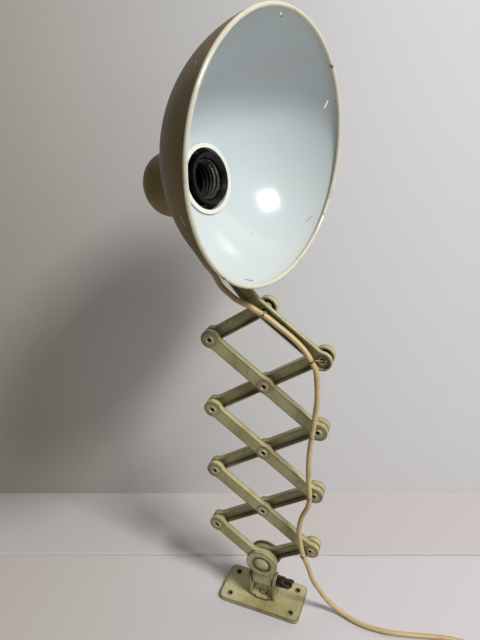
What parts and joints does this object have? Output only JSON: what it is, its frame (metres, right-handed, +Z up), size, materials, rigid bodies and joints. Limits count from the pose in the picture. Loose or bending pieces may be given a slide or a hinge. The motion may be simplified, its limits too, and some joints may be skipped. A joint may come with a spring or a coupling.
{
  "type": "accordion desk lamp",
  "caption": "Scissor-arm desk lamp with a domed shade on a tilt and swivel joint, a screwed base bracket and a tied mains lead ending in a coil and plug.",
  "frame": {"origin": "middle of the base plate's underside, the centre of its four screw holes", "axes": "+Z up off the surface the plate is screwed to, +X along the plate and the way the shade looks out, -Y the side that carries the lead"},
  "size_m": [0.3781, 0.1712, 0.5515],
  "materials": {
    "paint": "aged gloss paint",
    "white_enamel": "gloss enamel",
    "rivet_metal": "dull plated steel",
    "tie_wire": "tarnished wire",
    "dark_metal": "dark oxidised steel",
    "bakelite": "polished",
    "ceramic": "glazed",
    "shell_brass": "tarnished",
    "cord": "smooth, yellowed"
  },
  "bodies": {
    "bracket": {"base_plate": "paint", "clevis": "paint", "base_rivet": "rivet_metal", "hinge_bolt": "dark_metal", "hinge_washer": "rivet_metal", "cord_drop": "cord", "cord_coil": "cord", "plug": "bakelite", "plug_pins": "shell_brass"},
    "wing": {"wing_nut": "dark_metal"},
    "knuckle": {"knuckle": "paint", "hinge_bush": "rivet_metal"},
    "front_0": {"front_half_bar": "paint", "half_bar_rivet": "rivet_metal", "scissor_axle": "paint", "axle_nut": "dark_metal"},
    "back_0": {"back_half_bar": "paint"},
    "back_1": {"back_bar_1": "paint"},
    "front_1": {"front_bar_1": "paint", "rivets_1": "rivet_metal", "tie_1": "tie_wire", "cord_span_3": "cord"},
    "back_2": {"back_bar_2": "paint"},
    "front_2": {"front_bar_2": "paint", "rivets_2": "rivet_metal", "tie_2": "tie_wire", "cord_span_2": "cord"},
    "back_3": {"back_bar_3": "paint"},
    "front_3": {"front_bar_3": "paint", "rivets_3": "rivet_metal", "tie_3": "tie_wire", "cord_span_1": "cord"},
    "back_4": {"top_half_bar": "paint"},
    "arm": {"lamp_arm": "paint", "arm_rivets": "rivet_metal", "arm_ties": "tie_wire", "tilt_bolt": "dark_metal", "tilt_nut": "dark_metal", "cord_arm": "cord", "cord_head": "cord"},
    "tilt": {"tilt_block": "paint", "swivel_nut": "dark_metal"},
    "head": {"swivel_boss": "paint", "rear_cap": "paint", "shade": "paint", "shade_ring": "white_enamel", "holder_plate": "rivet_metal", "holder_screws": "rivet_metal", "holder_skirt": "bakelite", "holder_base": "ceramic", "screw_shell": "shell_brass", "centre_contact": "shell_brass", "cord_grommet": "bakelite"}
  },
  "joints": [
    {"name": "wing_turn", "type": "hinge", "parent": "bracket", "child": "wing", "pos_m": [0.018, 0, 0.029], "axis": [1, 0, 0], "range_deg": [-90, 90]},
    {"name": "base_tilt", "type": "hinge", "parent": "bracket", "child": "knuckle", "pos_m": [0, 0, 0.029], "axis": [1, 0, 0], "range_deg": [-40, 40], "deforming": ["cord_drop"]},
    {"name": "swing", "type": "hinge", "parent": "knuckle", "child": "front_0", "pos_m": [0, 0, 0.057], "axis": [0, 1, 0], "range_deg": [-25, 10], "deforming": ["cord_drop"]},
    {"name": "extend", "type": "hinge", "parent": "front_0", "child": "back_1", "pos_m": [-0.04823, 0, 0.09269], "axis": [0, -1, 0], "range_deg": [-40, 40], "deforming": ["cord_span_1", "cord_span_2", "cord_span_3", "cord_drop"]},
    {"name": "half_bar_turn", "type": "hinge", "parent": "front_0", "child": "back_0", "pos_m": [0, 0, 0.057], "axis": [0, 1, 0], "range_deg": [-40, 40]},
    {"name": "mid_1", "type": "hinge", "parent": "back_1", "child": "front_1", "pos_m": [0, 0, 0.12838], "axis": [0, 1, 0], "range_deg": [-40, 40]},
    {"name": "left_2", "type": "hinge", "parent": "front_1", "child": "back_2", "pos_m": [-0.04823, 0, 0.16407], "axis": [0, 1, 0], "range_deg": [-40, 40]},
    {"name": "mid_2", "type": "hinge", "parent": "back_2", "child": "front_2", "pos_m": [0, 0, 0.19976], "axis": [0, 1, 0], "range_deg": [-40, 40]},
    {"name": "left_3", "type": "hinge", "parent": "front_2", "child": "back_3", "pos_m": [-0.04823, 0, 0.23545], "axis": [0, 1, 0], "range_deg": [-40, 40]},
    {"name": "mid_3", "type": "hinge", "parent": "back_3", "child": "front_3", "pos_m": [0, 0, 0.27114], "axis": [0, 1, 0], "range_deg": [-40, 40]},
    {"name": "left_4", "type": "hinge", "parent": "front_3", "child": "back_4", "pos_m": [-0.04823, 0, 0.30683], "axis": [0, 1, 0], "range_deg": [-40, 40]},
    {"name": "mid_4", "type": "hinge", "parent": "back_4", "child": "arm", "pos_m": [0, 0, 0.34252], "axis": [0, 1, 0], "range_deg": [-40, 40]},
    {"name": "head_tilt", "type": "hinge", "parent": "arm", "child": "tilt", "pos_m": [-0.04911, 0, 0.39669], "axis": [0, 1, 0], "range_deg": [-45, 15], "deforming": ["cord_head"]},
    {"name": "head_swivel", "type": "hinge", "parent": "tilt", "child": "head", "pos_m": [-0.04911, 0, 0.41069], "axis": [0, 0, 1], "range_deg": [-60, 90], "deforming": ["cord_head"]}
  ],
  "couplings": [
    {"joint": "half_bar_turn", "follows": "extend", "ratio": -1},
    {"joint": "mid_1", "follows": "extend", "ratio": 1},
    {"joint": "left_2", "follows": "extend", "ratio": -1},
    {"joint": "mid_2", "follows": "extend", "ratio": 1},
    {"joint": "left_3", "follows": "extend", "ratio": -1},
    {"joint": "mid_3", "follows": "extend", "ratio": 1},
    {"joint": "left_4", "follows": "extend", "ratio": -1},
    {"joint": "mid_4", "follows": "extend", "ratio": 1}
  ]
}
